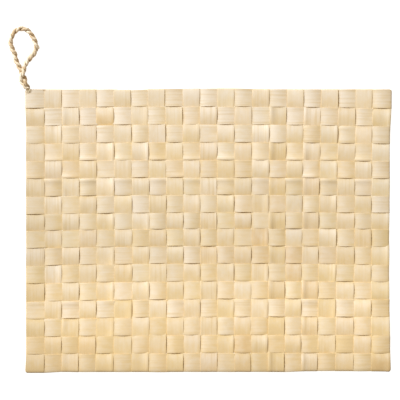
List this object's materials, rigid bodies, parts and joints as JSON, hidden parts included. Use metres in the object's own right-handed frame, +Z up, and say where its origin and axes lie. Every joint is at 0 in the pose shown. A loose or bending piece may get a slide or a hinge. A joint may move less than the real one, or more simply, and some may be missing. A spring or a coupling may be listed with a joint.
{
  "type": "woven palm placemat",
  "caption": "Flat rectangular placemat of broad pale palm-leaf strips in a plain over-and-under weave, with a twisted palm-cord hanging loop at one corner.",
  "frame": {"origin": "middle of the mat's outline, on the surface that the mat lies on", "axes": "+X along the mat's long side to the right, +Y across the mat towards the side with the hanging loop, +Z up, out of the face"},
  "size_m": [0.4734, 0.4275, 0.0094],
  "materials": {
    "palm_leaf": "pale folded palm-leaf strips, smooth with a satin sheen and fine lengthwise grain",
    "palm_cord": "two plies of twisted palm leaf, fibrous, straw colour with darker grooves"
  },
  "bodies": {
    "root": {"mat": "palm_leaf", "hanging_loop": "palm_cord"}
  },
  "joints": []
}
